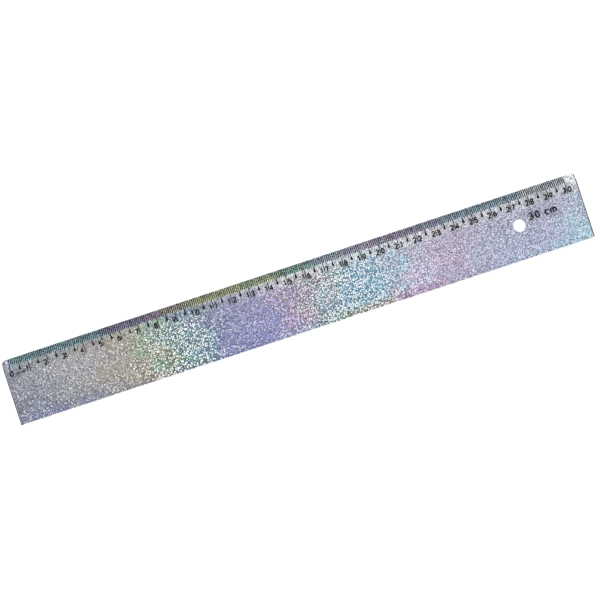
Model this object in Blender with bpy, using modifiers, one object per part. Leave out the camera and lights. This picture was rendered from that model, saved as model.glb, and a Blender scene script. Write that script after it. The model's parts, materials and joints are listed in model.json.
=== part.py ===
"""A 30 cm school ruler: a clear moulded blade with a holographic glitter film bonded under it.

The blade is one flat bar with a sloped scale edge, rounded corners and a hanging hole. The film is a
thin metallised sheet that covers the whole underside and has the same hole.

Frame: the origin is under the middle of the ruler. +X runs along the length, from the zero mark to the
30 cm mark, +Y points to the scale edge, and +Z points up, out of the printed face.
Units are metres.
"""

import math

import bmesh
import bpy
from mathutils import Matrix, Vector

MM = 0.001

# Length: the scale itself, and the blank margin at each end of it
SCALE_LENGTH = 300.0 * MM
ZERO_MARGIN = 3.7 * MM
END_MARGIN = 6.3 * MM
LENGTH = ZERO_MARGIN + SCALE_LENGTH + END_MARGIN

# Section
WIDTH = 35.0 * MM
THICKNESS = 3.0 * MM
SCALE_EDGE_HEIGHT = 1.0 * MM
SLOPE_WIDTH = 4.6 * MM
EDGE_ROUND = 0.2 * MM

# Outline, seen from above with the scale edge at the top
CORNER_RADIUS = 1.5 * MM
ZERO_BACK_CORNER_RADIUS = 0.7 * MM
CORNER_STEPS = 6

# Hanging hole, placed from the zero mark and from the scale edge
HOLE_DIAMETER = 6.2 * MM
HOLE_FROM_ZERO = 271.7 * MM
HOLE_FROM_SCALE_EDGE = 17.2 * MM
HOLE_SIDES = 48

# Round mark that the mould leaves in the top face
MARK_DIAMETER = 4.4 * MM
MARK_DEPTH = 0.2 * MM
MARK_FROM_ZERO = 32.0 * MM
MARK_FROM_SCALE_EDGE = 18.0 * MM
MARK_SIDES = 32

# Film and the adhesive line that holds it off the blade
FILM_THICKNESS = 0.1 * MM
ADHESIVE_GAP = 0.05 * MM
FILM_INSET = 0.4 * MM
FILM_HOLE_CLEARANCE = 0.2 * MM

BLADE_UNDERSIDE = FILM_THICKNESS + ADHESIVE_GAP
CUTTER_MARGIN = 5.0 * MM


def along(from_zero):
    """X of a point that lies this far from the zero mark."""
    return -LENGTH / 2 + ZERO_MARGIN + from_zero


def across(from_scale_edge):
    """Y of a point that lies this far in from the scale edge."""
    return WIDTH / 2 - from_scale_edge


def clear_scene():
    """Remove every object of the open scene."""
    for old in list(bpy.data.objects):
        bpy.data.objects.remove(old, do_unlink=True)


def new_collection(name):
    """A collection linked to the scene."""
    collection = bpy.data.collections.new(name)
    bpy.context.scene.collection.children.link(collection)
    return collection


def new_material(name, color, roughness, metallic=0.0, transmission=0.0):
    """A Principled material with plain values."""
    material = bpy.data.materials.new(name)
    material.use_nodes = True
    shader = material.node_tree.nodes["Principled BSDF"]
    shader.inputs["Base Color"].default_value = (*color, 1.0)
    shader.inputs["Roughness"].default_value = roughness
    shader.inputs["Metallic"].default_value = metallic
    shader.inputs["Transmission Weight"].default_value = transmission
    return material


def add_object(name, mesh_builder, collection):
    """An object whose mesh is what the filled bmesh holds."""
    mesh = bpy.data.meshes.new(name)
    mesh_builder.normal_update()
    mesh_builder.to_mesh(mesh)
    mesh_builder.free()
    item = bpy.data.objects.new(name, mesh)
    collection.objects.link(item)
    return item


def box(builder, size, center):
    """Add a box of this size about this centre, and return its vertices."""
    placed = Matrix.Translation(center) @ Matrix.Diagonal((*size, 1.0))
    return bmesh.ops.create_cube(builder, size=1.0, matrix=placed)["verts"]


def corner_radius(edge):
    """The rounding of one upright corner: the back corner at the zero end is the sharper one."""
    middle = (edge.verts[0].co + edge.verts[1].co) / 2
    at_zero_back = middle.x < 0 and middle.y < 0
    return ZERO_BACK_CORNER_RADIUS if at_zero_back else CORNER_RADIUS


def rounded_plate(length, width, bottom, top):
    """A flat plate with its four upright corners rounded."""
    builder = bmesh.new()
    box(builder, (length, width, top - bottom), Vector((0, 0, (bottom + top) / 2)))
    upright = [
        edge
        for edge in builder.edges
        if abs(edge.verts[0].co.z - edge.verts[1].co.z) > (top - bottom) / 2
    ]
    for edge in upright:
        bmesh.ops.bevel(
            builder,
            geom=[edge],
            offset=corner_radius(edge),
            segments=CORNER_STEPS,
            profile=0.5,
            affect="EDGES",
        )
    return builder


def round_cutter(name, x, y, diameter, bottom, top, sides, collection):
    """An upright cylinder that cuts a round hole or recess."""
    builder = bmesh.new()
    bmesh.ops.create_cone(
        builder,
        cap_ends=True,
        segments=sides,
        radius1=diameter / 2,
        radius2=diameter / 2,
        depth=top - bottom,
        matrix=Matrix.Translation((x, y, (bottom + top) / 2)),
    )
    return hide_cutter(add_object(name, builder, collection))


def hide_cutter(cutter):
    """Keep a cutter out of the finished model."""
    cutter.hide_render = True
    cutter.display_type = "WIRE"
    return cutter


def cut(item, cutter):
    """Take the cutter's shape out of the item."""
    modifier = item.modifiers.new(f"cut_{cutter.name}", "BOOLEAN")
    modifier.operation = "DIFFERENCE"
    modifier.solver = "EXACT"
    modifier.object = cutter


def round_edges(item, width):
    """Soften the sharp edges a little, as a moulding has them."""
    modifier = item.modifiers.new("edge_round", "BEVEL")
    modifier.width = width
    modifier.segments = 2
    modifier.limit_method = "ANGLE"
    modifier.angle_limit = math.radians(40)


def slope_cutter(collection):
    """A tilted box whose lower face is the sloped face of the scale edge."""
    drop = THICKNESS - SCALE_EDGE_HEIGHT
    slope = math.atan2(drop, SLOPE_WIDTH)
    reach = SLOPE_WIDTH + 2 * CUTTER_MARGIN
    size = (LENGTH + 2 * CUTTER_MARGIN, reach, reach)
    builder = bmesh.new()
    box(builder, size, Vector((0, 0, reach / 2)))
    middle_of_slope = Vector((0, across(SLOPE_WIDTH / 2), THICKNESS - drop / 2))
    tilted = Matrix.Translation(middle_of_slope) @ Matrix.Rotation(-slope, 4, "X")
    bmesh.ops.transform(builder, matrix=tilted, verts=builder.verts)
    return hide_cutter(add_object("slope_cutter", builder, collection))


def hole_cutter(name, diameter, collection):
    """A cylinder through the whole ruler at the hanging hole."""
    return round_cutter(
        name,
        along(HOLE_FROM_ZERO),
        across(HOLE_FROM_SCALE_EDGE),
        diameter,
        -CUTTER_MARGIN,
        THICKNESS + CUTTER_MARGIN,
        HOLE_SIDES,
        collection,
    )


def mark_cutter(collection):
    """A disc that sinks the round mould mark into the top face."""
    return round_cutter(
        "mark_cutter",
        along(MARK_FROM_ZERO),
        across(MARK_FROM_SCALE_EDGE),
        MARK_DIAMETER,
        THICKNESS - MARK_DEPTH,
        THICKNESS + CUTTER_MARGIN,
        MARK_SIDES,
        collection,
    )


def make_blade(parts, cutters):
    """The clear moulded bar: sloped scale edge, soft rims, hanging hole and mould mark."""
    plate = rounded_plate(LENGTH, WIDTH, BLADE_UNDERSIDE, THICKNESS)
    blade = add_object("blade", plate, parts)
    cut(blade, slope_cutter(cutters))
    round_edges(blade, EDGE_ROUND)
    cut(blade, hole_cutter("hole_cutter", HOLE_DIAMETER, cutters))
    cut(blade, mark_cutter(cutters))
    blade.data.materials.append(
        new_material("clear_styrene", (0.93, 0.95, 0.97), 0.06, transmission=1.0)
    )
    return blade


def make_film(parts, cutters):
    """The glitter film: a thin sheet just inside the blade's outline, with the hole punched through."""
    sheet = rounded_plate(LENGTH - 2 * FILM_INSET, WIDTH - 2 * FILM_INSET, 0.0, FILM_THICKNESS)
    film = add_object("holographic_film", sheet, parts)
    wider = HOLE_DIAMETER + 2 * FILM_HOLE_CLEARANCE
    cut(film, hole_cutter("film_hole_cutter", wider, cutters))
    film.data.materials.append(
        new_material("holographic_glitter", (0.66, 0.67, 0.73), 0.35, metallic=0.8)
    )
    return film


def main():
    clear_scene()
    parts = new_collection("ruler")
    cutters = new_collection("ruler_cutters")
    make_blade(parts, cutters)
    make_film(parts, cutters)


main()
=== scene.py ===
# %% [markdown]
# # A holographic 30 cm ruler
#
# The real ruler is a bar of clear moulded polystyrene. Its scale edge is sloped down to a thin lip, so
# that the graduations lie close to the paper. A metallised film with a glitter pattern is bonded under
# the bar, and the scale is printed on top in black ink.
#
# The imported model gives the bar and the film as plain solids. This lesson remakes them as finer
# surfaces, prints the scale, and lights everything on a pale table.

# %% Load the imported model
import json
import math

import bpy
import numpy as np
from mathutils import Matrix, Vector
from mathutils.geometry import delaunay_2d_cdt


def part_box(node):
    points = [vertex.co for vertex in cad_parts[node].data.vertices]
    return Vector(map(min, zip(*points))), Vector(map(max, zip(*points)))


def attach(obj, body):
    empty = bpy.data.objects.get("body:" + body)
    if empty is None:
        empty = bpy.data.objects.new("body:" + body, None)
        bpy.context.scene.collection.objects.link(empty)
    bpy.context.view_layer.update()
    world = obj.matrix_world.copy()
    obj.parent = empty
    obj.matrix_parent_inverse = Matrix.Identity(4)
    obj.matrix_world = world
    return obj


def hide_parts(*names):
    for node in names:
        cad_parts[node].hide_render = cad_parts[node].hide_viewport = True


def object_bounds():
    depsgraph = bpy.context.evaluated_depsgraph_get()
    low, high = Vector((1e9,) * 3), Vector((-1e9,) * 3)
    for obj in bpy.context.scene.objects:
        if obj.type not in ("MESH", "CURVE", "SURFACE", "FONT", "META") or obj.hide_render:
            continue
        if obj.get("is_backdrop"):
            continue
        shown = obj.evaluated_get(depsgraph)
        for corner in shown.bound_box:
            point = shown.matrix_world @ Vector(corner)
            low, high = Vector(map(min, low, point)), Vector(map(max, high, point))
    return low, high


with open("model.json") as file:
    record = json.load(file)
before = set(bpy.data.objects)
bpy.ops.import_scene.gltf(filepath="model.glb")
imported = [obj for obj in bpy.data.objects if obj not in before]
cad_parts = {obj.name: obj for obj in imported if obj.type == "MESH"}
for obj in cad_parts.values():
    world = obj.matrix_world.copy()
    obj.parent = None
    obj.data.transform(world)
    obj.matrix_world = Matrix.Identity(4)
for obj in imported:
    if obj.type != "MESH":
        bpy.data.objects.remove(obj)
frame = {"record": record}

cad_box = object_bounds()

# %% [markdown]
# ## Sizes
#
# The outer sizes are read from the model, so the new surfaces can't drift from it. The shape of the
# section, the place of the scale and the print are the maker's own, and are named here once.
# Positions along the ruler are counted from the zero mark, and positions across it from the scale
# edge, because that is how a ruler is drawn.

# %% Sizes of the bar and the film
MM = 0.001
BODY = "root"

bar_low, bar_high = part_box("blade")
film_low, film_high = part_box("holographic_film")
LENGTH = bar_high.x - bar_low.x
WIDTH = bar_high.y - bar_low.y
TOP = bar_high.z
UNDERSIDE = bar_low.z

ZERO_MARGIN = 3.7 * MM
SLOPE_WIDTH = 4.6 * MM
SCALE_EDGE_HEIGHT = 1.0 * MM
EDGE_ROUND = 0.2 * MM
CORNER_RADIUS = 1.5 * MM
ZERO_BACK_CORNER_RADIUS = 0.7 * MM

peg = frame["record"]["physics"]["openings"][0]["box_m"]
HOLE_CENTRE = np.array([(peg[0][0] + peg[1][0]) / 2, (peg[0][1] + peg[1][1]) / 2])
HOLE_RADIUS = 3.1 * MM
HOLE_ROUND = 0.15 * MM


def along(from_zero):
    """X of a place this far along the scale: the left end, plus the margin, plus the distance."""
    return bar_low.x + ZERO_MARGIN + from_zero


def across(from_edge):
    """Y of a place this far in from the scale edge."""
    return bar_high.y - from_edge


CREST = across(SLOPE_WIDTH)
FALL = (TOP - SCALE_EDGE_HEIGHT) / SLOPE_WIDTH


def face_height(y):
    """Height of the printed face at y: level as far as the crest, then down in a straight slope."""
    return TOP - FALL * np.clip(y - CREST, 0.0, None)


print(f"bar {LENGTH / MM:.1f} x {WIDTH / MM:.1f} mm, slope {math.degrees(math.atan(FALL)):.1f} degrees")

# %% [markdown]
# ## Helpers for surfaces
#
# Every surface here is a grid: rows of points that follow one another, such as the rings of a rounded
# rim or the stations along a printed line. One helper joins neighbouring rows with four-sided faces, and
# another turns arrays of points and faces into an object that rides on the ruler's body.

# %% Grids, caps and objects
def grid_faces(rows, columns, closed):
    """Quads between neighbouring rows of a grid; closed joins the last column to the first."""
    row = np.arange(rows - 1)[:, None]
    column = np.arange(columns if closed else columns - 1)[None, :]
    following = (column + 1) % columns
    quads = np.stack(
        [
            row * columns + column,
            row * columns + following,
            (row + 1) * columns + following,
            (row + 1) * columns + column,
        ],
        axis=-1,
    )
    return quads.reshape(-1, 4)


def circle(centre, radius, sides):
    """Points round a circle, anticlockwise: the centre plus radius times cosine and sine."""
    turn = np.arange(sides) * 2 * np.pi / sides
    return centre + radius * np.stack([np.cos(turn), np.sin(turn)], axis=1)


def fill(loops, hollow, ties=()):
    """Triangles that fill the first loop and leave the hollow circles open.

    The loops are rows of flat points. Neighbours in a loop, and the pairs in ties, stay joined by an
    edge. A triangle is dropped where its middle lies in a hollow, given as (centre, radius).
    """
    points = np.concatenate(loops)
    edges = list(ties)
    start = 0
    for loop in loops:
        numbers = start + np.arange(len(loop))
        edges += list(zip(numbers.tolist(), np.roll(numbers, -1).tolist()))
        start += len(loop)
    scaled = [Vector(point) for point in (points / MM).tolist()]
    _, _, triangles, origin, _, _ = delaunay_2d_cdt(scaled, edges, [], 0, 1e-5)
    triangles = np.array([[origin[corner][0] for corner in triangle] for triangle in triangles])
    middles = points[triangles].mean(axis=1)
    for centre, radius in hollow:
        keep = np.linalg.norm(middles - centre, axis=1) > radius
        triangles = triangles[keep]
        middles = middles[keep]
    return triangles


SHARP_ANGLE = math.radians(35)


def make_piece(name, points, faces, smooth=None):
    """An object of these points and faces, riding on the ruler.

    smooth has one flag for each face. The flags are set after the sharp edges, which clear them.
    """
    mesh = bpy.data.meshes.new(name)
    mesh.from_pydata(points.tolist(), [], faces)
    mesh.validate()
    if smooth is not None:
        mesh.set_sharp_from_angle(angle=SHARP_ANGLE)
        mesh.polygons.foreach_set("use_smooth", smooth)
    mesh.update()
    piece = bpy.data.objects.new(name, mesh)
    bpy.context.scene.collection.objects.link(piece)
    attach(piece, BODY)
    print(f"{name}: {len(points)} points, {len(faces)} faces")
    return piece


# %% [markdown]
# ## The outline
#
# Seen from above, the bar is a rectangle with rounded corners. The corner behind the zero mark is a
# little sharper than the others. Moving the outline inwards keeps each corner's centre and shortens its
# radius, so rings made at different insets line up point by point and can be joined into a rim.

# %% Rounded outline
CORNER_STEPS = 12


def corner_arc(centre, radius, first_angle):
    """A quarter turn about the centre, from first_angle on."""
    turn = first_angle + np.linspace(0, np.pi / 2, CORNER_STEPS + 1)
    return centre + radius * np.stack([np.cos(turn), np.sin(turn)], axis=1)


def outline(inset):
    """The bar's outline moved inwards, anticlockwise from the back corner at the 30 cm end.

    A point on the crest of the slope is put in each end, so that the face can bend there.
    """
    half = np.array([LENGTH, WIDTH]) / 2
    arcs = []
    for quarter, side in enumerate([(1, -1), (1, 1), (-1, 1), (-1, -1)]):
        radius = ZERO_BACK_CORNER_RADIUS if side == (-1, -1) else CORNER_RADIUS
        centre = np.array(side) * (half - radius)
        arcs.append(corner_arc(centre, radius - inset, (quarter - 1) * np.pi / 2))
    right_crest = np.array([[half[0] - inset, CREST]])
    left_crest = np.array([[inset - half[0], CREST]])
    return np.concatenate([arcs[0], right_crest, arcs[1], arcs[2], left_crest, arcs[3]])


CREST_TIE = (CORNER_STEPS + 1, 3 * (CORNER_STEPS + 1) + 1)
print("the outline has", len(outline(0.0)), "points, and the crest joins", CREST_TIE)

# %% [markdown]
# ## The clear bar
#
# It is one moulding, so it is one closed surface. A rim profile is carried round the outline: a small
# quarter round below, the upright wall, and a small quarter round above that ends on the printed
# face. The top and the underside are flat, and are filled with triangles between the outline and the
# round features. The mould leaves a round mark near the zero end: a shallow dish, whose sloped wall
# catches the lamp as a thin bright arc. Flat areas are shaded flat and the rims smooth, because clear
# plastic shows every fault in its shading.

# %% Rim, hole and mould mark
RIM_STEPS = 6
HOLE_SIDES = 72
MARK_CENTRE = np.array([along(32.0 * MM), across(18.0 * MM)])
MARK_RADIUS = 2.2 * MM
MARK_DEPTH = 0.2 * MM
MARK_WALL = 0.65 * MM
MARK_INWARDS = np.array([0.0, 0.07, 0.14, 0.5, 0.86, 0.93, 1.0])
MARK_DOWN = np.array([0.0, 0.02, 0.08, 0.5, 0.92, 0.98, 1.0])


def rim_rings():
    """Rings of the outer wall from the underside to the printed face.

    A ring's inset is the rounding times (1 - cosine), and its distance from the flat is the rounding
    times (1 - sine) of an angle that goes from 90 degrees on the flat to 0 on the wall.
    """
    angle = np.linspace(np.pi / 2, 0, RIM_STEPS + 1)
    insets = EDGE_ROUND * (1 - np.cos(angle))
    gaps = EDGE_ROUND * (1 - np.sin(angle))
    below = [np.c_[outline(i), np.full(len(outline(i)), UNDERSIDE + g)] for i, g in zip(insets, gaps)]
    above = [
        np.c_[outline(i), face_height(outline(i)[:, 1]) - g]
        for i, g in zip(insets[::-1], gaps[::-1])
    ]
    return np.array(below + above)


def round_rings(centre, radii, heights, sides):
    """Rings about an upright axis, one for each radius and height."""
    return np.array([np.c_[circle(centre, r, sides), np.full(sides, z)] for r, z in zip(radii, heights)])


rim = rim_rings()
hole_angle = np.linspace(0, np.pi / 2, RIM_STEPS + 1)
hole_flare = HOLE_RADIUS + HOLE_ROUND * (1 - np.sin(hole_angle))
hole_gap = HOLE_ROUND * (1 - np.cos(hole_angle))
hole = round_rings(
    HOLE_CENTRE,
    np.concatenate([hole_flare, hole_flare[::-1]]),
    np.concatenate([TOP - hole_gap, UNDERSIDE + hole_gap[::-1]]),
    HOLE_SIDES,
)
mark = round_rings(
    MARK_CENTRE,
    MARK_RADIUS - MARK_WALL * MARK_INWARDS,
    TOP - MARK_DEPTH * MARK_DOWN,
    HOLE_SIDES,
)
print("rim rings", len(rim), "hole rings", len(hole), "mark rings", len(mark))

# %% Join them into one closed bar
def stack(*parts):
    """All the parts' points in one array, and the number of each part's first point."""
    flat = [part.reshape(-1, 3) for part in parts]
    starts = np.cumsum([0] + [len(part) for part in flat])
    return np.concatenate(flat), starts


def make_bar():
    """The clear moulding: rim, top and underside, hole wall and mould mark."""
    points, starts = stack(rim, hole, mark)
    rim_size = rim.shape[1]
    wall = grid_faces(len(rim), rim_size, closed=True)
    hole_wall = grid_faces(len(hole), HOLE_SIDES, closed=True) + starts[1]
    mark_wall = grid_faces(len(mark), HOLE_SIDES, closed=True) + starts[2]
    mark_floor = starts[2] + (len(mark) - 1) * HOLE_SIDES + np.arange(HOLE_SIDES)

    mouth = (HOLE_CENTRE, HOLE_RADIUS + HOLE_ROUND)
    top_rows = [
        starts[0] + (len(rim) - 1) * rim_size + np.arange(rim_size),
        starts[1] + np.arange(HOLE_SIDES),
        starts[2] + np.arange(HOLE_SIDES),
    ]
    top = fill([points[row, :2] for row in top_rows], [mouth, (MARK_CENTRE, MARK_RADIUS)], [CREST_TIE])
    top = np.concatenate(top_rows)[top]
    under_rows = [np.arange(rim_size), starts[1] + (len(hole) - 1) * HOLE_SIDES + np.arange(HOLE_SIDES)]
    under = fill([points[row, :2] for row in under_rows], [mouth])
    under = np.concatenate(under_rows)[under][:, ::-1]

    curved = [wall, hole_wall, mark_wall]
    flat = [top, under, mark_floor[None, :]]
    faces = [face for group in curved + flat for face in group.tolist()]
    smooth = [True] * sum(map(len, curved)) + [False] * sum(map(len, flat))
    bar = make_piece("clear_bar", points, faces, smooth)
    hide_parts("blade")
    return bar


bar = make_bar()

# %% [markdown]
# ## The glitter film
#
# The film is a sheet a tenth of a millimetre thick, a little smaller than the bar and punched with the
# same hole. In the real ruler nothing but clear glue is between the two, so light goes straight from
# plastic to film. The sheet's upper face is therefore set a hair inside the bar: with air between
# them, the plastic would mirror at low angles and hide the film.

# %% Film sheet
FILM_INSET = 0.4 * MM
FILM_BITE = 0.01 * MM
FILM_HOLE_RADIUS = HOLE_RADIUS + 0.2 * MM


def make_film():
    """The film as a flat plate with a hole, bitten a hair into the bar."""
    edge = outline(FILM_INSET)
    ring = circle(HOLE_CENTRE, FILM_HOLE_RADIUS, HOLE_SIDES)
    levels = [film_low.z, UNDERSIDE + FILM_BITE]
    outer = np.array([np.c_[edge, np.full(len(edge), z)] for z in levels])
    inner = np.array([np.c_[ring, np.full(len(ring), z)] for z in levels[::-1]])
    points, starts = stack(outer, inner)
    walls = [
        grid_faces(2, len(edge), closed=True),
        grid_faces(2, len(ring), closed=True) + starts[1],
    ]
    sheet = fill([edge, ring], [(HOLE_CENTRE, FILM_HOLE_RADIUS)])
    edge_numbers = np.arange(len(edge))
    ring_numbers = starts[1] + np.arange(len(ring))
    top = np.concatenate([edge_numbers + len(edge), ring_numbers])[sheet]
    under = np.concatenate([edge_numbers, ring_numbers + len(ring)])[sheet][:, ::-1]
    faces = [face for group in walls + [top, under] for face in group.tolist()]
    film = make_piece("glitter_film", points, faces)
    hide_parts("holographic_film")
    return film


film = make_film()

# %% [markdown]
# ## Ink
#
# The graduations are printed in black ink that stands a few hundredths of a millimetre proud.
# A line is a thin ribbon that follows the face: it runs down the slope, bends at the crest and goes on
# over the flat. A half-centimetre line ends in a drop, which is the same ribbon with a width that
# widens straight from a neck until it meets a circle, and then closes with it.

# %% Ribbons that follow the face
INK_RISE = 0.012 * MM
INK_BITE = 0.01 * MM
LINE_WIDTH = 0.44 * MM
LINE_START = 0.2 * MM
MM_LINE_END = 4.1 * MM
CM_LINE_END = 8.9 * MM
ZERO_LINE_END = 6.0 * MM
DROP_NECK = 5.0 * MM
DROP_CENTRE = 6.5 * MM
DROP_RADIUS = 0.66 * MM
DROP_TURN = np.linspace(0.33 * np.pi, 0.97 * np.pi, 12)


def ribbons(name, x, stations, half_widths):
    """Ink lines at every x, through stations counted from the scale edge.

    A line's section at a station is a box: its half width to each side, a bite below the face and a
    rise above it. The sections are joined along the line, and the first and last are closed.
    """
    y = across(stations)[None, :, None]
    side = np.array([-1, 1, 1, -1])[None, None, :]
    lift = np.array([-INK_BITE, -INK_BITE, INK_RISE, INK_RISE])[None, None, :]
    points = np.stack(
        np.broadcast_arrays(
            x[:, None, None] + side * half_widths[None, :, None],
            y,
            face_height(y) + lift,
        ),
        axis=-1,
    )
    per_line = len(stations) * 4
    last = per_line - 4
    one = [*grid_faces(len(stations), 4, closed=True), [3, 2, 1, 0], [last, last + 1, last + 2, last + 3]]
    one = np.array(one)[:, ::-1]
    faces = one[None, :, :] + per_line * np.arange(len(x))[:, None, None]
    return make_piece(name, points.reshape(-1, 3), faces.reshape(-1, 4).tolist())


def plain_line(end):
    """Stations and half widths of a line of one width that ends here."""
    stations = np.array([LINE_START, end] if end < SLOPE_WIDTH else [LINE_START, SLOPE_WIDTH, end])
    return stations, np.full(len(stations), LINE_WIDTH / 2)


def drop_line():
    """A line that swells into a drop: it widens straight from the neck until it meets a circle.

    From there on, the half width is the circle's radius times the sine of the turn.
    """
    stations, widths = plain_line(DROP_NECK)
    return (
        np.concatenate([stations, DROP_CENTRE - DROP_RADIUS * np.cos(DROP_TURN)]),
        np.concatenate([widths, DROP_RADIUS * np.sin(DROP_TURN)]),
    )


marks = np.arange(301)
fine = marks[marks % 5 != 0]
halves = marks[marks % 10 == 5]
whole = marks[(marks % 10 == 0) & (marks > 0)]
ink = [
    ribbons("millimetre_lines", along(fine * MM), *plain_line(MM_LINE_END)),
    ribbons("half_centimetre_pins", along(halves * MM), *drop_line()),
    ribbons("centimetre_lines", along(whole * MM), *plain_line(CM_LINE_END)),
    ribbons("zero_line", along(np.zeros(1)), *plain_line(ZERO_LINE_END)),
]

# %% [markdown]
# ## Numerals
#
# The numerals are the plain, round ones of drawing stencils, with one stroke width throughout. Each is
# drawn as one or two centre lines from straight runs and elliptical arcs, in a box one unit high. A
# stroke is then a ribbon carried along that centre line: each point moves sideways, along the mitre of
# its two neighbouring edges, by half the stroke's width. Where strokes cross, one lies a hair above the
# other, because two faces at one height would fight over which of them is seen.

# %% Centre lines of the numerals
def arc(centre, radii, first, last, steps=14):
    """Points on an ellipse from the first angle to the last, in degrees."""
    turn = np.radians(np.linspace(first, last, steps + 1))
    return np.array(centre) + np.array(radii) * np.stack([np.cos(turn), np.sin(turn)], axis=1)


def ring(centre, radii):
    """A whole ellipse, without its last point, which would repeat the first."""
    return arc(centre, radii, 90, 450, 24)[:-1]


def run(*corners):
    """A run of straight edges."""
    return np.array(corners, float)


THREE_TOP = arc((0.29, 0.755), (0.23, 0.245), 150, -80)
THREE_BOWL = arc((0.29, 0.265), (0.27, 0.265), 80, -155)
FIVE_NECK = run((0.53, 1.0), (0.15, 1.0), (0.1, 0.57))
SIX_STEM = np.concatenate([run((0.46, 1.0)), arc((0.52, 0.34), (0.46, 0.52), 128, 176, 6)])
SIX = [SIX_STEM, ring((0.3, 0.31), (0.26, 0.31))]
GLYPHS = {
    "0": [ring((0.3, 0.5), (0.27, 0.5))],
    "1": [run((0.12, 0.8), (0.36, 1.0), (0.36, 0.0))],
    "2": [np.concatenate([arc((0.3, 0.72), (0.26, 0.28), 165, -30), run((0.04, 0.0), (0.58, 0.0))])],
    "3": [np.concatenate([THREE_TOP, THREE_BOWL])],
    "4": [run((0.42, 0.0), (0.42, 1.0), (0.02, 0.28), (0.6, 0.28))],
    "5": [np.concatenate([FIVE_NECK, arc((0.3, 0.32), (0.27, 0.32), 120, -150)])],
    "6": SIX,
    "7": [run((0.04, 1.0), (0.57, 1.0), (0.2, 0.0))],
    "8": [ring((0.3, 0.755), (0.21, 0.245)), ring((0.3, 0.26), (0.26, 0.26))],
    "9": [np.array([0.6, 1.0]) - stroke for stroke in SIX],
    "c": [arc((0.27, 0.33), (0.25, 0.33), 50, 310)],
    "m": [
        run((0.0, 0.0), (0.0, 0.66)),
        np.concatenate([arc((0.19, 0.44), (0.19, 0.22), 180, 0, 8), run((0.38, 0.0))]),
        np.concatenate([arc((0.57, 0.44), (0.19, 0.22), 180, 0, 8), run((0.76, 0.0))]),
    ],
}
ADVANCE = {"m": 1.0, "c": 0.68, " ": 0.4}
DIGIT_ADVANCE = 0.78
CLOSED = {"0": [0], "6": [1], "8": [0, 1], "9": [1]}
print(len(GLYPHS), "signs drawn")

# %% Strokes and writing
INK_CLIMB = 0.004 * MM
INK_LAYER = 0.005 * MM


def stroke_solid(line, closed, half_width, top):
    """A ribbon of one width carried along a centre line on the level face.

    An open stroke climbs a hair from its start to its end, so that it doesn't meet itself at one height
    where it crosses.
    """
    before = np.roll(line, 1, axis=0)
    after = np.roll(line, -1, axis=0)
    if not closed:
        before[0] = 2 * line[0] - line[1]
        after[-1] = 2 * line[-1] - line[-2]
    forward = after - line
    back = line - before
    forward /= np.linalg.norm(forward, axis=1)[:, None]
    back /= np.linalg.norm(back, axis=1)[:, None]
    mitre = np.stack([-(forward + back)[:, 1], (forward + back)[:, 0]], axis=1)
    mitre /= np.linalg.norm(mitre, axis=1)[:, None]
    normal = np.stack([-forward[:, 1], forward[:, 0]], axis=1)
    reach = half_width / np.clip((mitre * normal).sum(axis=1), 0.5, 1.0)
    side = np.array([-1, 1, 1, -1])[None, :, None]
    flat = line[:, None, :] + side * (mitre * reach[:, None])[:, None, :]
    lift = np.array([-INK_BITE, -INK_BITE, INK_RISE, INK_RISE])[None, :, None]
    climb = np.linspace(0, 0 if closed else INK_CLIMB, len(line))[:, None, None]
    points = np.concatenate([flat, top + climb + lift], axis=2)
    faces = grid_faces(len(line), 4, closed=True)
    last = 4 * (len(line) - 1)
    if closed:
        columns = np.arange(4)
        following = (columns + 1) % 4
        seam = np.stack([last + columns, last + following, following, columns], axis=1)
        return points.reshape(-1, 3), np.concatenate([faces, seam])
    ends = np.array([[3, 2, 1, 0], [last, last + 1, last + 2, last + 3]])
    return points.reshape(-1, 3), np.concatenate([faces, ends])


def write(text, start, height, stroke, widen=1.0):
    """The strokes of a text whose lower left corner is at start, as a list of solids.

    The centre lines fill the height less one stroke, so that the outside of the ink is that high.
    widen stretches the signs along the line only.
    """
    solids = []
    pen = 0.0
    for sign in text:
        for number, line in enumerate(GLYPHS.get(sign, [])):
            placed = line * (height - stroke) * [widen, 1.0] + [pen + stroke / 2, stroke / 2]
            level = TOP + number * INK_LAYER
            solids.append(stroke_solid(placed + start, number in CLOSED.get(sign, []), stroke / 2, level))
        pen += ADVANCE.get(sign, DIGIT_ADVANCE) * height * widen
    return solids


def print_text(name, solids):
    """One piece of ink from many stroke solids."""
    starts = np.cumsum([0] + [len(points) for points, _ in solids])
    points = np.concatenate([points for points, _ in solids])
    faces = np.concatenate([faces + start for (_, faces), start in zip(solids, starts)])
    return make_piece(name, points, faces.tolist())


# %% Numbers along the scale
NUMERAL_HEIGHT = 3.2 * MM
NUMERAL_STROKE = 0.7 * MM
NUMERAL_BASE = across(9.1 * MM)
DIGIT_WIDTH = 0.6 * (NUMERAL_HEIGHT - NUMERAL_STROKE) + NUMERAL_STROKE
LINE_GAP = 0.3 * MM
ZERO_DROP = 0.5 * MM


def number_solids(centimetre):
    """A number's strokes: one digit stands left of its line, and two stand either side of it.

    The zero is centred under its shorter line, a little lower than the rest.
    """
    x = along(centimetre * 10 * MM)
    digits = str(centimetre)
    size = (NUMERAL_HEIGHT, NUMERAL_STROKE)
    if centimetre == 0:
        return write(digits, [x - DIGIT_WIDTH / 2, NUMERAL_BASE - ZERO_DROP], *size)
    left = write(digits[0], [x - LINE_GAP - DIGIT_WIDTH, NUMERAL_BASE], *size)
    right = write(digits[1:], [x + LINE_GAP, NUMERAL_BASE], *size)
    return left + right


UNIT_CORNER = [along(2.4 * MM), across(9.4 * MM)]
UNIT_HEIGHT = 1.8 * MM
UNIT_STROKE = 0.42 * MM
LEGEND_CORNER = [along(277.0 * MM), across(16.4 * MM)]
LEGEND_HEIGHT = 4.0 * MM
LEGEND_STROKE = 0.8 * MM

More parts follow.
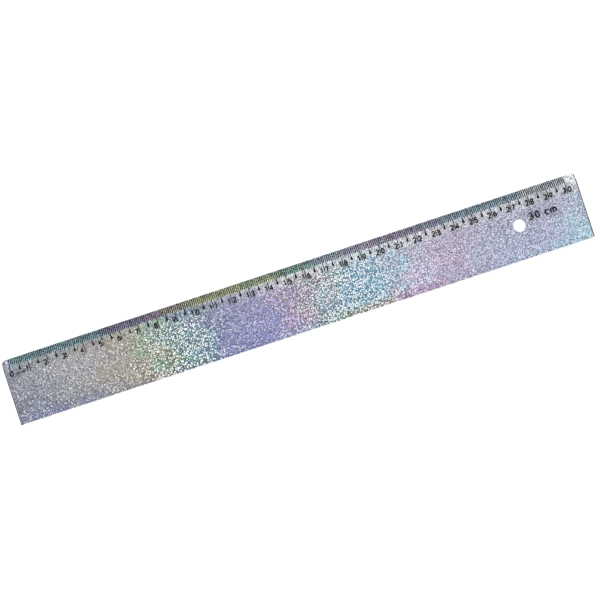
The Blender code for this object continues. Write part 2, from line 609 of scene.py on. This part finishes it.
ink.append(print_text("numerals", [solid for cm in range(31) for solid in number_solids(cm)]))
unit = write("mm", UNIT_CORNER, UNIT_HEIGHT, UNIT_STROKE, widen=1.5)
legend = write("30 cm", LEGEND_CORNER, LEGEND_HEIGHT, LEGEND_STROKE, widen=1.1)
ink.append(print_text("unit_mark", unit))
ink.append(print_text("length_legend", legend))

# %% [markdown]
# ## A small language for materials
#
# Shader maths is easier to read as Python. A Wire stands for the value on a socket, and adding or
# multiplying Wires puts the Math node for it in the tree. A Recipe makes every other node from its
# type, its settings and what is plugged into it.

# %% Wires and recipes
class Wire:
    """A number that flows through a material; arithmetic on it adds Math nodes."""

    def __init__(self, recipe, socket):
        self.recipe = recipe
        self.socket = socket

    def _math(self, operation, first, second=0.0):
        return self.recipe.node("ShaderNodeMath", {"operation": operation}, {0: first, 1: second})

    def __add__(self, other):
        return self._math("ADD", self, other)

    def __sub__(self, other):
        return self._math("SUBTRACT", self, other)

    def __rsub__(self, other):
        return self._math("SUBTRACT", other, self)

    def __mul__(self, other):
        return self._math("MULTIPLY", self, other)

    def __truediv__(self, other):
        return self._math("DIVIDE", self, other)

    def __pow__(self, other):
        return self._math("POWER", self, other)

    def __abs__(self):
        return self._math("ABSOLUTE", self)

    __radd__ = __add__
    __rmul__ = __mul__


class Recipe:
    """A material's node tree, built from calls."""

    def __init__(self, name):
        self.material = bpy.data.materials.new(name)
        self.material.use_nodes = True
        self.tree = self.material.node_tree
        self.tree.nodes.clear()

    def node(self, kind, settings=None, inputs=None, out=0):
        """A node of this kind: its settings first, then its sockets, and the Wire of one output."""
        made = self.tree.nodes.new(kind)
        for key, value in (settings or {}).items():
            if key == "stops":
                self.fill_ramp(made.color_ramp, value)
            else:
                setattr(made, key, value)
        for key, value in (inputs or {}).items():
            if isinstance(value, Wire):
                self.tree.links.new(value.socket, made.inputs[key])
            else:
                made.inputs[key].default_value = value
        return Wire(self, made.outputs[out])

    @staticmethod
    def fill_ramp(ramp, stops):
        """Set a colour ramp's stops from (place, colour) pairs."""
        while len(ramp.elements) < len(stops):
            ramp.elements.new(0.5)
        for element, (place, color) in zip(ramp.elements, stops):
            element.position = place
            element.color = color

    def split(self, triple):
        """The three numbers of a vector or a colour."""
        parts = self.node("ShaderNodeSeparateXYZ", {}, {0: triple}).socket.node
        return [Wire(self, parts.outputs[axis]) for axis in range(3)]

    def cells(self, place, size, disorder=1.0):
        """A mosaic of cells of this size: distance from each cell's middle, and its random colour."""
        inputs = {"Vector": place, "Scale": 1 / size, "Randomness": disorder}
        distance = self.node("ShaderNodeTexVoronoi", {"voronoi_dimensions": "2D"}, inputs)
        return distance, Wire(self, distance.socket.node.outputs["Color"])

    def step(self, value, first, last):
        """0 below first, 1 above last, and a smooth change between."""
        settings = {"interpolation_type": "SMOOTHSTEP"}
        return self.node("ShaderNodeMapRange", settings, {0: value, 1: first, 2: last})

    def hill(self, value, centre, spread):
        """1 at the centre and 0 a spread away on each side."""
        rise = self.step(value, centre - spread, centre)
        fall = self.step(value, centre, centre + spread)
        return rise * (1 - fall)

    def blend(self, factor, first, second):
        """A colour between two: the first at factor 0, the second at 1."""
        settings = {"data_type": "RGBA", "clamp_result": True}
        return self.node("ShaderNodeMix", settings, {0: factor, 6: first, 7: second}, out=2)

    def multiply(self, first, second):
        """Two colours multiplied, channel by channel."""
        settings = {"data_type": "RGBA", "blend_type": "MULTIPLY", "clamp_result": True}
        return self.node("ShaderNodeMix", settings, {0: 1.0, 6: first, 7: second}, out=2)

    def finish(self, shader):
        """Plug the shader into the material's output and return the material."""
        output = self.tree.nodes.new("ShaderNodeOutputMaterial")
        self.tree.links.new(shader.socket, output.inputs["Surface"])
        return self.material


def paint(red, green, blue):
    """A screen colour, 0 to 1, as the light values that shaders use."""
    screen = np.array([red, green, blue])
    light = np.where(screen <= 0.04045, screen / 12.92, ((screen + 0.055) / 1.055) ** 2.4)
    return (*light.tolist(), 1.0)


WHITE = paint(1.0, 1.0, 1.0)

# %% [markdown]
# ## Ink and clear plastic
#
# The ink is black with a satin skin. The bar is polystyrene: it bends light more than glass does, and is
# very faintly waved by the mould. Just inside its two ends, and more faintly on its long walls, it is
# darkened by painted shade, which stands in for the light that is trapped between the walls. Its long
# walls are lightly frosted, and so is the wall of the mould mark.
#
# Light reaches the film only through the bar, and a path tracer can't aim at a lamp through a body that
# bends light. So for the rays that look for a lamp the bar counts as a plain clear sheet.

# %% Ink
def ink_material():
    """Black satin ink with a slight change of gloss."""
    mix = Recipe("scale_ink")
    place = mix.node("ShaderNodeTexCoord", out=3)
    grain = mix.node("ShaderNodeTexNoise", {}, {"Vector": place, "Scale": 1500.0, "Detail": 2.0})
    shader = mix.node(
        "ShaderNodeBsdfPrincipled",
        {},
        {
            "Base Color": paint(0.02, 0.02, 0.025),
            "Roughness": grain * 0.2 + 0.4,
            "Specular IOR Level": 0.15,
        },
    )
    return mix.finish(shader)


# %% Clear polystyrene
# The dark colour here is painted shade: it is blended into the clear plastic near its ends and, more
# faintly, on its long walls, standing in for light trapped between the walls.
END_SHADE_REACH = 0.9 * MM
CLEAR = paint(0.985, 0.99, 0.99)
END_SHADE_COLOR = paint(0.12, 0.13, 0.18)
STYRENE_IOR = 1.59
GLOSS = 0.02
MARK_FROST = 0.3
WALL_FROST = 0.2
print(f"the plastic darkens over the last {END_SHADE_REACH / MM:.1f} mm of each end")


def wall_tint(mix, x, y):
    """How much painted shade darkens the plastic, and where its long walls are.

    The painted shade rises over the last 0.9 mm of the length, falls again on the end wall itself, and
    has a third of its strength on the long walls.
    """
    near_end = mix.step(abs(x), LENGTH / 2 - END_SHADE_REACH, LENGTH / 2 - EDGE_ROUND)
    end_wall = mix.step(abs(x), LENGTH / 2 - EDGE_ROUND, LENGTH / 2)
    long_wall = mix.step(abs(y), WIDTH / 2 - EDGE_ROUND / 2, WIDTH / 2)
    return near_end * (1 - 0.6 * end_wall) + long_wall * 0.35, long_wall


def clear_material():
    """Clear plastic, faintly waved, that lets the lamps' light through.

    Its roughness is the gloss of the face, plus a frost on the mark's wall and one on the long walls.
    """
    mix = Recipe("clear_styrene")
    place = mix.node("ShaderNodeTexCoord", out=3)
    waves = mix.node("ShaderNodeTexNoise", {}, {"Vector": place, "Scale": 60.0, "Detail": 1.0})
    bump = mix.node("ShaderNodeBump", {}, {"Strength": 0.06, "Distance": 0.0002, "Height": waves})
    x, y, _ = mix.split(place)
    shade_amount, long_wall = wall_tint(mix, x, y)
    ends = {0: place, 1: (*MARK_CENTRE.tolist(), TOP)}
    from_mark = mix.node("ShaderNodeVectorMath", {"operation": "DISTANCE"}, ends, out=1)
    mark_wall = mix.hill(from_mark, MARK_RADIUS - MARK_WALL / 2, MARK_WALL)
    plastic = mix.node(
        "ShaderNodeBsdfPrincipled",
        {},
        {
            # Base Color: clear, darkened by painted shade near the ends and on the long walls.
            "Base Color": mix.blend(shade_amount, CLEAR, END_SHADE_COLOR),
            "Roughness": GLOSS + MARK_FROST * mark_wall + WALL_FROST * long_wall,
            "IOR": STYRENE_IOR,
            "Transmission Weight": 1.0,
            "Normal": bump,
        },
    )
    sheet = mix.node("ShaderNodeBsdfTransparent", {}, {"Color": paint(0.96, 0.97, 0.97)})
    lamp_ray = mix.node("ShaderNodeLightPath", out="Is Shadow Ray")
    return mix.finish(mix.node("ShaderNodeMixShader", {}, {0: lamp_ray, 1: plastic, 2: sheet}))


# %% [markdown]
# ## The holographic film
#
# Holographic film is stamped with patches of fine grooves. A patch splits white light, and which colour
# reaches the eye depends on the angles, so a ruler under a lamp shows broad rainbow bands that are made of
# single coloured specks. The bands are painted along the length as a ramp of named colours, bent into
# arcs. The slope bends the light once more, so other colours are painted on the film under it, and
# others again along its back edge.
#
# Two Voronoi patterns break the bands up. The finer one makes the specks: each has its own tilt, its own
# lightness and its own place on the ramp, so that neighbouring colours mingle. The coarser one makes
# round glints, which are painted highlights, with darker film between them. They are bright and many in
# two lively zones, near 9 and 18 centimetres, and few in the calm ones.

# %% Colours of the bands
SLATE = paint(0.55, 0.57, 0.66)
PERIWINKLE = paint(0.59, 0.61, 0.76)
SILVER = paint(0.71, 0.71, 0.73)
BLUSH = paint(0.76, 0.71, 0.68)
STRAW = paint(0.76, 0.76, 0.60)
MINT = paint(0.56, 0.78, 0.70)
SEA = paint(0.48, 0.68, 0.80)
IRIS = paint(0.58, 0.58, 0.81)
ORCHID = paint(0.74, 0.62, 0.80)
ICE = paint(0.58, 0.80, 0.93)
ROSE = paint(0.80, 0.70, 0.83)
LAVENDER = paint(0.73, 0.74, 0.86)
AQUA = paint(0.73, 0.85, 0.95)
PALE = paint(0.97, 0.97, 0.98)
PEARL = paint(0.80, 0.82, 0.94)
TEAL = paint(0.66, 0.83, 0.88)
OLIVE = paint(0.95, 0.96, 0.74)

FLAT_BANDS = [
    (0.0, SLATE),
    (3.0, SILVER),
    (5.4, BLUSH),
    (6.8, STRAW),
    (8.2, MINT),
    (9.6, SEA),
    (11.4, IRIS),
    (13.4, IRIS),
    (14.8, ORCHID),
    (16.4, SILVER),
    (17.6, ICE),
    (19.6, ICE),
    (21.0, PEARL),
    (22.8, ROSE),
    (25.0, LAVENDER),
    (29.6, LAVENDER),
    (30.4, AQUA),
]
# Colours painted on the film under the slope, where the plastic bends the light and the rainbow changes.
SLOPE_BANDS = [
    (0.0, TEAL),
    (4.6, TEAL),
    (6.6, PERIWINKLE),
    (8.4, ORCHID),
    (10.8, OLIVE),
    (13.2, OLIVE),
    (15.0, MINT),
    (17.2, AQUA),
    (19.0, ROSE),
    (22.2, LAVENDER),
    (24.5, AQUA),
    (26.8, AQUA),
    (28.0, PALE),
    (30.6, PALE),
]
BACK_BANDS = [
    (0.0, PERIWINKLE),
    (1.4, PERIWINKLE),
    (3.4, SILVER),
    (7.0, BLUSH),
    (9.0, SEA),
    (11.0, IRIS),
    (13.2, IRIS),
    (15.2, LAVENDER),
    (17.2, MINT),
    (19.0, STRAW),
    (20.8, ORCHID),
    (23.0, ROSE),
    (26.0, LAVENDER),
    (31.0, AQUA),
]
BAND_START = -0.5
BAND_SPAN = 32.0
for place_name, bands in (("face", FLAT_BANDS), ("slope", SLOPE_BANDS), ("back edge", BACK_BANDS)):
    print(f"{len(bands)} colour stops along the {place_name}")


def ramp_stops(bands):
    """Bands in centimetres as places from 0 to 1 on a ramp."""
    return [((centimetre - BAND_START) / BAND_SPAN, color) for centimetre, color in bands]


# %% Zones of the film
BACK_EDGE = (0.8, 0.97)
NUMERAL_STRIP = (0.16, 0.34)
LEFT_PART = (7, 17)
LIVELY_LEFT = (8.9, 3.8)
LIVELY_RIGHT = (18.0, 5.4)
CALM = 0.3
print("most glitter near", LIVELY_LEFT[0], "and", LIVELY_RIGHT[0], "cm")


def film_zones(mix, centimetres, depth):
    """Zones from 0 to 1: the back edge, the strip behind the numerals, the left part, and the glitter.

    centimetres runs along the scale, and depth goes from 0 at the scale edge to 1 at the back. The
    glitter is CALM everywhere, rises to 1 on two hills along the scale, and is weaker behind the print.
    """
    back = mix.step(depth, *BACK_EDGE)
    strip = 1 - mix.step(depth, *NUMERAL_STRIP)
    left = 1 - mix.step(centimetres, *LEFT_PART)
    hills = mix.hill(centimetres, *LIVELY_LEFT) + mix.hill(centimetres, *LIVELY_RIGHT)
    lively = CALM + (1 - CALM) * hills
    lively = lively * (0.4 + 0.6 * mix.step(depth, 0.1, 0.34)) + 0.05 * back
    return back, strip, left, lively


# %% The rainbow over the film
BAND_BEND = 0.16
DRIFT_REACH = 5
SHIFT_REACH = 1.6
CREST_DEPTH = (0.125, 0.135)
MIDDLE = 15
print(f"a speck borrows its colour from up to {SHIFT_REACH / 2:.1f} cm away")


def ramp(mix, bands, spot):
    """The colour of these bands at a spot from 0 to 1."""
    return mix.node("ShaderNodeValToRGB", {"stops": ramp_stops(bands)}, {0: spot})


def film_bands(mix, place, centimetres, depth, shift, back, strip):
    """The rainbow at a place.

    The place along the ramp is the distance from the middle, stretched with the depth so that bands
    bend, plus a slow drift of up to 2.5 cm each way and each speck's own shift of up to 0.8 cm.
    """
    bend = 1 + (depth - 0.5) * BAND_BEND
    drift = mix.node("ShaderNodeTexNoise", {}, {"Vector": place, "Scale": 110.0, "Detail": 1.0})
    band = (centimetres - MIDDLE) * bend + MIDDLE + (drift - 0.5) * DRIFT_REACH
    spot = (band + (shift - 0.5) * SHIFT_REACH - BAND_START) / BAND_SPAN
    flat = mix.blend((1 - depth) * 0.4, ramp(mix, FLAT_BANDS, spot), SILVER)
    flat = mix.blend(back, flat, ramp(mix, BACK_BANDS, spot))
    flat = mix.blend(strip * mix.step(centimetres, 8, 15) * 0.55, flat, PALE)
    # Under the slope the film takes the painted colours of the light that the slope bends.
    slope = mix.blend(mix.step(centimetres, -0.1, 0.1), LAVENDER, ramp(mix, SLOPE_BANDS, spot))
    return mix.blend(mix.step(depth, *CREST_DEPTH), slope, flat)


# %% Film material
SPECK_SIZE = 0.48 * MM
GLINT_SIZE = 0.95 * MM
GLINT_DISORDER = 0.75
SPECK_TILT = 0.5
print(f"specks of {SPECK_SIZE / MM:.2f} mm between glints of {GLINT_SIZE / MM:.2f} mm")


def leaning_normal(mix, speck):
    """The surface's normal, moved sideways by each speck's random colour less a half, times the tilt."""
    level = mix.node("ShaderNodeNewGeometry", out=1)
    amounts = {0: speck, 1: (SPECK_TILT, SPECK_TILT, 0.0), 2: (-SPECK_TILT / 2, -SPECK_TILT / 2, 0.0)}
    lean = mix.node("ShaderNodeVectorMath", {"operation": "MULTIPLY_ADD"}, amounts)
    total = mix.node("ShaderNodeVectorMath", {"operation": "ADD"}, {0: level, 1: lean})
    return mix.node("ShaderNodeVectorMath", {"operation": "NORMALIZE"}, {0: total})


def film_lightness(mix, zones, centimetres, depth, lightness, from_middle):
    """How light the film is at a place, as a number near 1.

    A speck counts one plus its random number less a half, times the contrast, to the power 2.2. The
    gaps between the glints take a share of it away. Slow trends make the left part and the back edge
    darker, and the strip behind the numerals lighter near 7 and 18.5 centimetres.
    """
    back, strip, left, lively = zones
    trend = (1 - 0.2 * left) * (1 - 0.12 * left * mix.step(depth, 0.45, 1.0)) * (1 - 0.1 * back)
    paler = 0.4 * mix.hill(centimetres, 18.5, 6) + 0.2 * mix.hill(centimetres, 7, 3)
    trend = trend * (1 + strip * paler)
    gap = mix.step(from_middle, 0.25, 0.6)
    contrast = (1 + (lightness - 0.5) * (0.55 + 0.6 * lively)) ** 2.2
    return contrast * (0.965 - 0.2 * lively - (0.38 + 0.12 * lively) * gap) * trend


def film_flashes(mix, chance, power, from_middle, lively):
    """Where a painted glint flashes, from 0 to 1: a painted highlight.

    A glint is lit where its random number plus 0.58 times the liveliness passes 1, and it shows only
    near its middle: within 0.26 to 0.36 of a cell, and up to 0.16 more for a strong one.
    """
    lit = mix.step(chance + lively * 0.58, 0.97, 1.03) * (0.25 + 0.75 * lively)
    return (1 - mix.step(from_middle - 0.16 * power, 0.26, 0.36)) * lit


def film_material():
    """Rainbow bands broken into specks and glints, on a metallised film.

    The ground is the bands times the lightness, tinged by each glint's own colour, and a painted glint, a
    painted highlight, blends it to a whitened band.
    """
    mix = Recipe("holographic_glitter")
    place = mix.node("ShaderNodeTexCoord", out=3)
    x, y, _ = mix.split(place)
    centimetres = (x - along(0.0)) * 100
    depth = (bar_high.y - y) / WIDTH
    _, speck = mix.cells(place, SPECK_SIZE)
    shift, lightness, gloss = mix.split(speck)
    from_middle, glint = mix.cells(place, GLINT_SIZE, GLINT_DISORDER)
    chance, power, _ = mix.split(glint)
    zones = film_zones(mix, centimetres, depth)
    back, strip, _, lively = zones

    bands = film_bands(mix, place, centimetres, depth, shift, back, strip)
    value = film_lightness(mix, zones, centimetres, depth, lightness, from_middle)
    ground = mix.multiply(bands, mix.node("ShaderNodeCombineColor", {}, {0: value, 1: value, 2: value}))
    tinge = mix.blend(0.05 + 0.2 * lively, WHITE, glint)
    # Painted highlights: where a glint flashes, the colour is blended most of the way to white.
    painted_glint = film_flashes(mix, chance, power, from_middle, lively)
    painted_highlight = mix.blend(0.72, bands, WHITE)
    shader = mix.node(
        "ShaderNodeBsdfPrincipled",
        {},
        {
            "Base Color": mix.blend(painted_glint, mix.multiply(ground, tinge), painted_highlight),
            "Roughness": 0.42 - 0.2 * gloss,
            "Metallic": 0.7,
            "Normal": leaning_normal(mix, speck),
        },
    )
    return mix.finish(shader)


# %% Dress the pieces
def dress(piece, material):
    """Give a piece its one material."""
    piece.data.materials.clear()
    piece.data.materials.append(material)
    print(f"{piece.name} is finished in {material.name}")


black = ink_material()
for piece in ink:
    dress(piece, black)
dress(bar, clear_material())
dress(film, film_material())

# %% [markdown]
# ## Table, light and camera
#
# The ruler lies on a pale table under an even studio sky. Two soft lamps stand at the sides, where the
# flat, glossy face doesn't mirror them into the camera above. Their light already reaches the film as
# through a clear sheet, so rays that were bent by the plastic don't see them: they would count twice.

# %% Table
FLOOR_DROP = 0.05 * MM
FLOOR_REACH = 6.0


def make_floor():
    """A large pale sheet just under the ruler."""
    mesh = bpy.data.meshes.new("table")
    corners = [(-1, -1), (1, -1), (1, 1), (-1, 1)]
    points = [(FLOOR_REACH * x, FLOOR_REACH * y, -FLOOR_DROP) for x, y in corners]
    mesh.from_pydata(points, [], [(0, 1, 2, 3)])
    floor = bpy.data.objects.new("table", mesh)
    bpy.context.scene.collection.objects.link(floor)
    mix = Recipe("pale_table")
    pale = {"Base Color": (0.93, 0.93, 0.93, 1.0), "Roughness": 0.9}
    shader = mix.node("ShaderNodeBsdfPrincipled", {}, pale)
    dress(floor, mix.finish(shader))
    floor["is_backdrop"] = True
    return floor


floor = make_floor()

# %% Light
SKY_STRENGTH = 1.18
KEY_LAMP = ((-1.1, -0.34, 0.94), 0.5, 13.0)
FILL_LAMP = ((0.7, -0.8, 1.0), 0.8, 5.9)


def make_sky(brightness):
    """An even sky."""
    world = bpy.data.worlds.new("studio_sky")
    bpy.context.scene.world = world
    world.use_nodes = True
    background = world.node_tree.nodes["Background"]
    background.inputs["Color"].default_value = (1.0, 1.0, 1.0, 1.0)
    background.inputs["Strength"].default_value = brightness
    print(f"sky: strength {brightness}")
    return world


def make_lamp(name, place, size, power):
    """A square soft lamp that faces the middle of the ruler; size in metres, power in watts."""
    light = bpy.data.lights.new(name, "AREA")
    light.shape = "SQUARE"
    light.size = size
    light.energy = power
    lamp = bpy.data.objects.new(name, light)
    lamp.location = place
    lamp.rotation_euler = (-Vector(place)).to_track_quat("-Z", "Y").to_euler()
    lamp.visible_transmission = False
    bpy.context.scene.collection.objects.link(lamp)
    print(f"{name}: {power} W, {size} m wide, {lamp.location.length:.2f} m away")
    return lamp


make_sky(SKY_STRENGTH)
make_lamp("key_lamp", *KEY_LAMP)
make_lamp("fill_lamp", *FILL_LAMP)
bpy.context.scene.view_settings.view_transform = "Standard"

# %% Camera
LENS = 72.0
CAMERA_PLACE = Vector((0.0176, -0.0058, 0.6179))
AIM = Vector((0.0019, -0.0007, 0.0015))
TURN = math.radians(18.23)


def make_camera():
    """A camera above the ruler, turned so that the ruler rises to the right."""
    data = bpy.data.cameras.new("camera")
    data.lens = LENS
    camera = bpy.data.objects.new("camera", data)
    forward = (AIM - CAMERA_PLACE).normalized()
    right = forward.cross(Vector((math.sin(TURN), math.cos(TURN), 0.0))).normalized()
    up = right.cross(forward)
    turned = Matrix((right, up, -forward)).transposed().to_4x4()
    camera.matrix_world = Matrix.Translation(CAMERA_PLACE) @ turned
    bpy.context.scene.collection.objects.link(camera)
    bpy.context.scene.camera = camera
    return camera


camera = make_camera()
print(f"camera {camera.location.length:.3f} m from the ruler, lens {LENS:.0f} mm")

# %% Compare the boxes and finish
new_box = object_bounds()
for box_name, (low, high) in (("CAD", cad_box), ("visual", new_box)):
    print(box_name, "box in mm:", (np.subtract(high, low) / MM).round(2).tolist())
